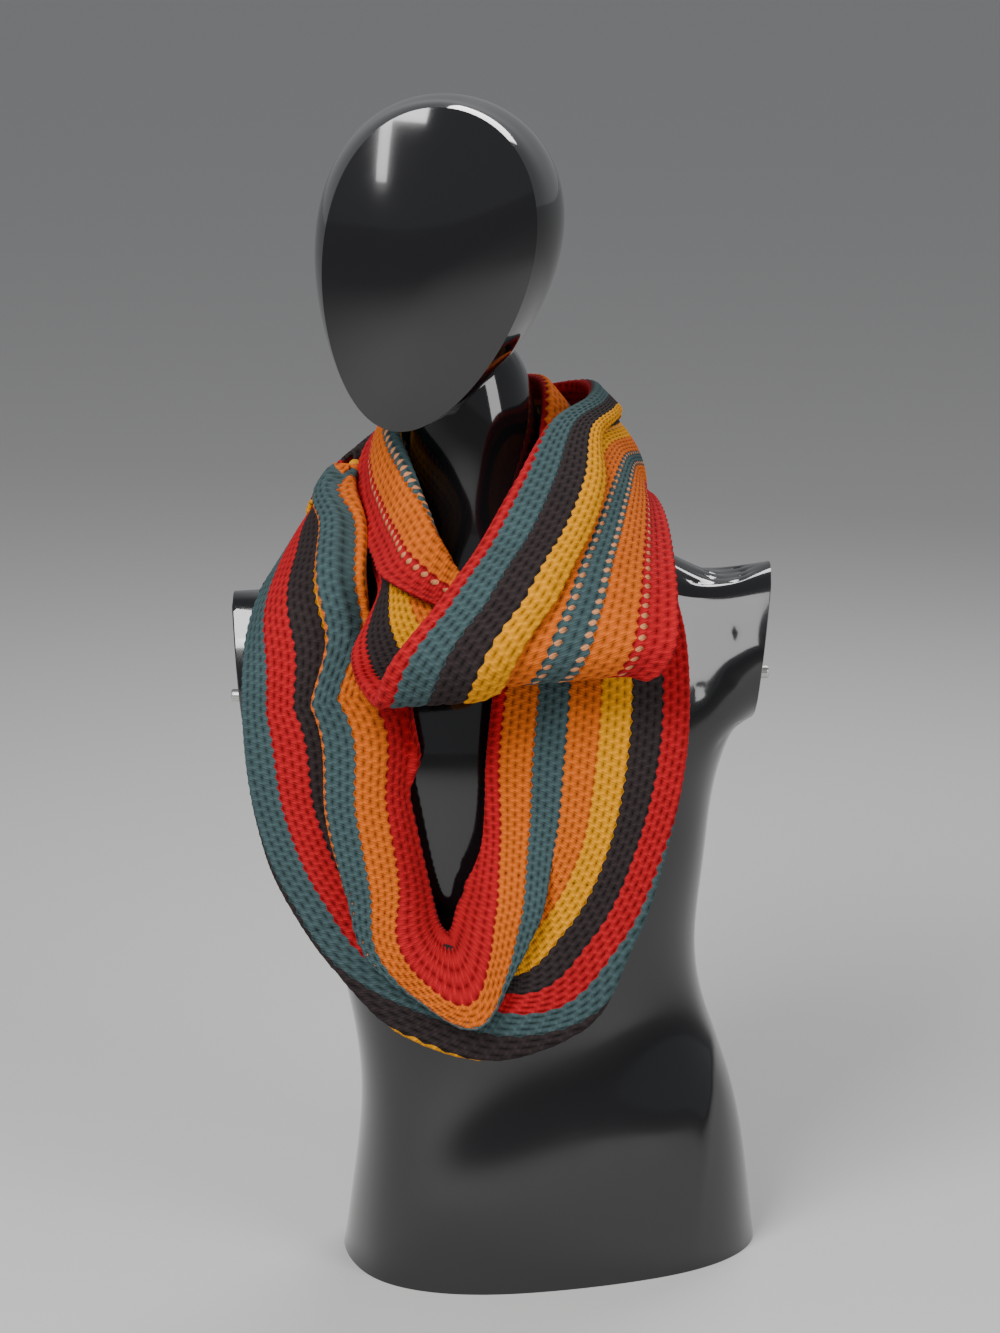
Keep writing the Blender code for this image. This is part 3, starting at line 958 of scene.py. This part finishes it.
@dataclass(frozen=True)
class Stump:
    """The flat cut where an arm would start.

    reach is its x, lean how far its top stands out past its bottom, y and z its middle, and depth
    and height its size. steps are the shares of the way at which the drawn-out faces stop.
    """

    reach: float
    lean: float
    y: float
    z: float
    depth: float
    height: float
    steps: tuple[float, ...] = (0.5, 1.0)
    cut_depth: float = 1.5
    edge_crease: float = 0.9

    def on_cut(self, point: Vector) -> bool:
        """Tell whether a point lies on the flat cut.

        Args:
            point: The point, in millimetres, before the part is centred.

        Returns:
            True where it does.
        """
        flat = self.reach + math.copysign(self.lean, self.reach) * (point.z - self.z) / self.height
        return abs(point.x - flat) < self.cut_depth

    def draw_out(
        self, bm: bmesh.types.BMesh, crease: bmesh.types.BMLayerItem, patch: list
    ) -> None:
        """Draw a patch of the torso's side out to the cut.

        Args:
            bm: The torso.
            crease: Its layer of edge creases.
            patch: Faces of its side.
        """
        vectors = bm.verts.layers.float_vector
        goal = vectors.get("goal") or vectors.new("goal")
        verts = {vert for face in patch for vert in face.verts}
        low = Vector([min(v.co[i] for v in verts) for i in range(3)])
        high = Vector([max(v.co[i] for v in verts) for i in range(3)])
        for vert in verts:
            u, v = (2 * (vert.co[i] - low[i]) / (high[i] - low[i]) - 1 for i in (1, 2))
            out, up = u * math.sqrt(1 - v * v / 2) / 2, v * math.sqrt(1 - u * u / 2) / 2
            x = self.reach + math.copysign(self.lean, self.reach) * up
            vert[goal] = Vector((x, self.y + self.depth * out, self.z + self.height * up))
        for part in self.steps:
            made = bmesh.ops.extrude_face_region(bm, geom=patch)
            bmesh.ops.delete(bm, geom=patch, context="FACES_ONLY")
            patch = [item for item in made["geom"] if isinstance(item, bmesh.types.BMFace)]
            for vert in {vert for face in patch for vert in face.verts}:
                vert.co = vert.co.lerp(vert[goal], part)
        cut = set(patch)
        for edge in {edge for face in patch for edge in face.edges}:
            if any(face not in cut for face in edge.link_faces):
                edge[crease] = self.edge_crease


@dataclass(frozen=True)
class Head:
    """A faceless egg of a head: a shallow domed face with a crisp rim, and a shell behind it.

    Each row of shell is a ring's depth behind the rim, its width and height as shares of the face,
    and its rise. width_weight is how many millimetres of depth a whole share of width counts as
    along the shell.
    """

    centre: tuple[float, float, float] = (-58, -92, 824)
    yaw: float = -5.5
    pitch: float = 2.0
    roll: float = 12.5
    half_width: float = 79.0
    half_height: float = 126.0
    egg: float = 0.18
    dome: float = 17.0
    face_rings: int = 24
    shell_rings: int = 44
    ring_points: int = 128
    width_weight: float = 80.0
    tip: float = 0.2
    shell: tuple[tuple[float, float, float, float], ...] = (
        (0, 1.0, 1.0, 0),
        (7, 1.035, 1.01, 0),
        (40, 1.15, 1.01, 0),
        (85, 1.18, 0.99, 2),
        (125, 1.10, 0.92, 4),
        (158, 0.90, 0.74, 8),
        (182, 0.60, 0.48, 12),
        (193, 0.28, 0.22, 12),
        (195, 0.02, 0.02, 12),
    )

    def outlines(self) -> list[tuple[float, float, float, float]]:
        """Depth, width, height and rise of every ring, from the middle of the face to the back.

        Returns:
            The rings.
        """
        rings = []
        for k in range(1, self.face_rings + 1):
            part = math.sin(math.pi / 2 * k / self.face_rings)
            rings.append((-self.dome * (1 - part * part), part, part, 0.0))
        table = np.array(self.shell)
        deeper, wider = np.diff(table[:, 0]), np.diff(table[:, 1])
        steps = np.hypot(deeper, self.width_weight * wider)
        along = np.concatenate([[0], np.cumsum(steps)])
        rates = np.gradient(table, along, axis=0)
        for place in np.linspace(0, along[-1], self.shell_rings + 1)[1:]:
            i = min(int(np.searchsorted(along, place)) - 1, len(along) - 2)
            step = along[i + 1] - along[i]
            t = (place - along[i]) / step
            ring = smooth_curve(t, step, (table[i], table[i + 1]), (rates[i], rates[i + 1]))
            rings.append(tuple(ring))
        return rings

    def build(self, bm: bmesh.types.BMesh) -> None:
        """Add the head to a mesh.

        Args:
            bm: The mesh.
        """
        turn = (
            Matrix.Rotation(math.radians(self.yaw), 3, "Z")
            @ Matrix.Rotation(math.radians(self.pitch), 3, "X")
            @ Matrix.Rotation(math.radians(self.roll), 3, "Y")
        )

        def at(x: float, y: float, z: float) -> bmesh.types.BMVert:
            """Add a point, given in the head's own frame."""
            return bm.verts.new(Vector(self.centre) + turn @ Vector((x, y, z)))

        rings = []
        for depth, wide, tall, up in self.outlines():
            ring = []
            for k in range(self.ring_points):
                angle = 2 * math.pi * k / self.ring_points
                x = wide * self.half_width * math.sin(angle) * (1 + self.egg * math.cos(angle))
                ring.append(at(x, depth, tall * self.half_height * math.cos(angle) + up))
            rings.append(ring)
        depth, *_, rise = self.shell[-1]
        front, back = at(0, -self.dome, 0), at(0, depth + self.tip, rise)
        for k in range(self.ring_points):
            n = (k + 1) % self.ring_points
            bm.faces.new((front, rings[0][n], rings[0][k]))
            bm.faces.new((back, rings[-1][k], rings[-1][n]))
            for low, high in zip(rings, rings[1:]):
                bm.faces.new((low[k], low[n], high[n], high[k]))


RINGS = (
    Ring(0, -133, 216, 16, 118, -16, 2.5),
    Ring(55, -126, 210, 16, 116, -16, 2.5),
    Ring(115, -117, 203, 16, 108, -15, 2.4),
    Ring(165, -118, 188, 16, 100, -14, 2.3),
    Ring(215, -126, 166, 14, 94, -13, 2.3),
    Ring(270, -140, 161, 12, 92, -12, 2.3),
    Ring(330, -156, 173, 12, 96, -11, 2.4),
    Ring(390, -168, 174, 14, 96, -10, 2.4),
    Ring(440, -174, 192, 18, 102, -10, 2.5),
    Ring(480, -176, 198, 22, 95, -10, 2.4),
    Ring(520, -172, 192, 24, 86, -9, 2.3),
    Ring(556, -150, 180, 26, 74, -8, 2.2),
    Ring(590, -114, 124, 26, 62, -5, 2.0),
    Ring(618, -86, 70, 24, 58, -2, 2.0),
    Ring(645, -74, 42, 20, 56, 0, 2.0),
    Ring(690, -71, 32, 18, 55, 0, 2.0),
    Ring(730, -74, 24, 18, 52, 0, 2.0),
    Ring(765, -72, 12, 16, 46, 0, 2.0),
)


@dataclass
class Bust:
    """The display bust, skinned finer than its solid, and its two pegs.

    arm_rings are the first ring and the one past the last that a stump is drawn from, and
    arm_segments how many segments it takes on each side of its middle. foot is the height that
    keeps its hard edge.
    """

    lacquer: bpy.types.Material
    steel: bpy.types.Material
    head: Head = Head()
    left: Stump = Stump(-209, 10, -4, 500, 112, 116)
    right: Stump = Stump(213, 14, 44, 508, 120, 130)
    ring_points: int = 24
    arm_rings: tuple[int, int] = (8, 11)
    arm_segments: int = 3
    levels: int = 3
    foot: float = 6.0
    relaxing: int = 70
    relax_share: float = 0.5
    crisp_angle: float = 38.0

    def torso(self) -> bpy.types.Object:
        """Skin the torso, its neck and its arm stumps.

        Returns:
            The torso, with its smoothing applied.
        """
        bm = bmesh.new()
        crease = bm.edges.layers.float.new("crease_edge")
        outlines = [ring.points(self.ring_points) for ring in RINGS]
        rings = [[bm.verts.new(point) for point in outline] for outline in outlines]
        sides = {}
        for i, (low, high) in enumerate(zip(rings, rings[1:])):
            for k in range(self.ring_points):
                n = (k + 1) % self.ring_points
                sides[i, k] = bm.faces.new((low[k], low[n], high[n], high[k]))
        bottom = bm.faces.new(rings[0][::-1])
        bm.faces.new(rings[-1])
        for edge in bottom.edges:
            edge[crease] = 1.0
        for centre, stump in ((0, self.right), (self.ring_points // 2, self.left)):
            patch = [
                sides[i, (centre + k) % self.ring_points]
                for i in range(*self.arm_rings)
                for k in range(-self.arm_segments, self.arm_segments)
            ]
            stump.draw_out(bm, crease, patch)
        torso = self.piece("bust_torso", bm)
        smooth = torso.modifiers.new("smooth", "SUBSURF")
        smooth.levels = smooth.render_levels = self.levels
        bpy.ops.object.select_all(action="DESELECT")
        bpy.context.view_layer.objects.active = torso
        torso.select_set(True)
        bpy.ops.object.modifier_apply(modifier="smooth")
        loose = torso.vertex_groups.new(name="loose")
        for vert in torso.data.vertices:
            point = vert.co / MM - CENTRING
            on_a_cut = self.left.on_cut(point) or self.right.on_cut(point)
            if point.z > self.foot and not on_a_cut:
                loose.add([vert.index], 1.0, "REPLACE")
        relax = torso.modifiers.new("relax", "SMOOTH")
        relax.factor = self.relax_share
        relax.iterations = self.relaxing
        relax.vertex_group = loose.name
        bpy.ops.object.modifier_apply(modifier="relax")
        return torso

    def piece(self, name: str, bm: bmesh.types.BMesh) -> bpy.types.Object:
        """Turn a mesh into a lacquered, smooth piece.

        Args:
            name: Its name.
            bm: The mesh, in millimetres, before it is centred.

        Returns:
            The piece.
        """
        bmesh.ops.recalc_face_normals(bm, faces=bm.faces)
        centred = Matrix.Scale(MM, 4) @ Matrix.Translation(CENTRING)
        bmesh.ops.transform(bm, matrix=centred, verts=bm.verts)
        mesh = bpy.data.meshes.new(name)
        bm.to_mesh(mesh)
        bm.free()
        mesh.materials.append(self.lacquer)
        made = bpy.data.objects.new(name, mesh)
        bpy.context.scene.collection.objects.link(made)
        bpy.ops.object.select_all(action="DESELECT")
        bpy.context.view_layer.objects.active = made
        made.select_set(True)
        bpy.ops.object.shade_smooth_by_angle(angle=math.radians(self.crisp_angle))
        return made

    def build(self) -> None:
        """Skin the bust and dress the pegs."""
        skin = self.torso()
        bm = bmesh.new()
        self.head.build(bm)
        head = self.piece("bust_head", bm)
        head.select_set(True)
        skin.select_set(True)
        bpy.context.view_layer.objects.active = skin
        bpy.ops.object.join()
        skin.name = "bust_skin"
        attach(skin, "root")
        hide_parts("bust")
        for side in ("left", "right"):
            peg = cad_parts["peg_" + side]
            peg.data.materials.clear()
            peg.data.materials.append(self.steel)
        LOG.info("bust: %d faces", len(skin.data.polygons))


@dataclass(frozen=True)
class Softbox:
    """One soft light. Its place, its target and its size are in metres, and its power in watts."""

    name: str
    place: tuple[float, float, float]
    target: tuple[float, float, float]
    size: tuple[float, float]
    power: float

    def hang(self) -> None:
        """Hang the light and turn it to its target."""
        lamp = bpy.data.lights.new(self.name, "AREA")
        lamp.shape = "RECTANGLE"
        lamp.size, lamp.size_y = self.size
        lamp.energy = self.power
        obj = bpy.data.objects.new(self.name, lamp)
        obj.location = self.place
        aim = Vector(self.target) - Vector(self.place)
        obj.rotation_euler = aim.to_track_quat("-Z", "Y").to_euler()
        bpy.context.scene.collection.objects.link(obj)


@dataclass
class Studio:
    """Floor, soft lights and camera round the part, in metres and degrees."""

    floor_size: float = 80.0
    lights: tuple[Softbox, ...] = (
        Softbox("key", (-1.1, -1.9, 2.3), (0, 0, 0.55), (1.2, 1.2), 85),
        Softbox("fill", (1.7, -1.6, 1.4), (0, 0, 0.5), (1.0, 1.6), 28),
        Softbox("catch", (-1.0, -1.5, 1.35), (0, 0, 0.85), (0.16, 0.42), 3),
        Softbox("rim", (0.6, 1.6, 2.0), (0, 0, 0.6), (1.2, 0.8), 25),
    )
    room_colour: tuple[float, ...] = (0.75, 0.77, 0.80, 1.0)
    room_strength: float = 0.35
    camera_place: tuple[float, float, float] = (-0.0017, -2.7782, 1.15)
    look_down: float = 13.17
    lens: float = 96.36
    sensor_width: float = 36.0

    def build(self) -> None:
        """Set up the studio."""
        self.floor()
        for light in self.lights:
            light.hang()
        self.room()
        self.camera()
        LOG.info("studio set")

    def floor(self) -> None:
        """Lay the pale floor."""
        bpy.ops.object.select_all(action="DESELECT")
        bpy.ops.mesh.primitive_plane_add(size=self.floor_size)
        floor = bpy.context.object
        floor.name = "floor"
        floor.data.materials.append(PaperFinish().build())
        floor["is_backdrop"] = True

    def room(self) -> None:
        """Light the room evenly from all sides."""
        world = bpy.context.scene.world or bpy.data.worlds.new("room")
        bpy.context.scene.world = world
        world.use_nodes = True
        background = world.node_tree.nodes["Background"]
        background.inputs["Color"].default_value = self.room_colour
        background.inputs["Strength"].default_value = self.room_strength

    def camera(self) -> None:
        """Place the camera in front of the bust, a little above its head."""
        data = bpy.data.cameras.new("camera")
        data.lens = self.lens
        data.sensor_width = self.sensor_width
        obj = bpy.data.objects.new("camera", data)
        obj.location = self.camera_place
        obj.rotation_euler = (math.radians(90 - self.look_down), 0, 0)
        bpy.context.scene.collection.objects.link(obj)
        bpy.context.scene.camera = obj


def write_size(key: str, sizes: dict[str, object]) -> None:
    """Note the bounds of what is built so far.

    Args:
        key: What the bounds are of.
        sizes: The notes so far, which are added to.
    """
    low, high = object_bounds()
    sizes[key] = [[float(x) for x in low], [float(x) for x in high]]


def main() -> None:
    """Build the scarf on its bust, in the studio."""
    logging.basicConfig(level=logging.INFO, format="%(message)s")
    sizes: dict[str, object] = {}
    write_size("frame", sizes)
    Bust(GlossFinish().build(), SteelFinish().build()).build()
    finishes = {side: WoolFinish(side).build() for side in Side}
    loop = ScarfLoop(SECTIONS, FoldShape())
    for name in dict.fromkeys(section.stretch for section in SECTIONS):
        ScarfStretch(loop, name, finishes).place()
    Studio().build()
    write_size("scene", sizes)


if __name__ == "__main__":
    main()
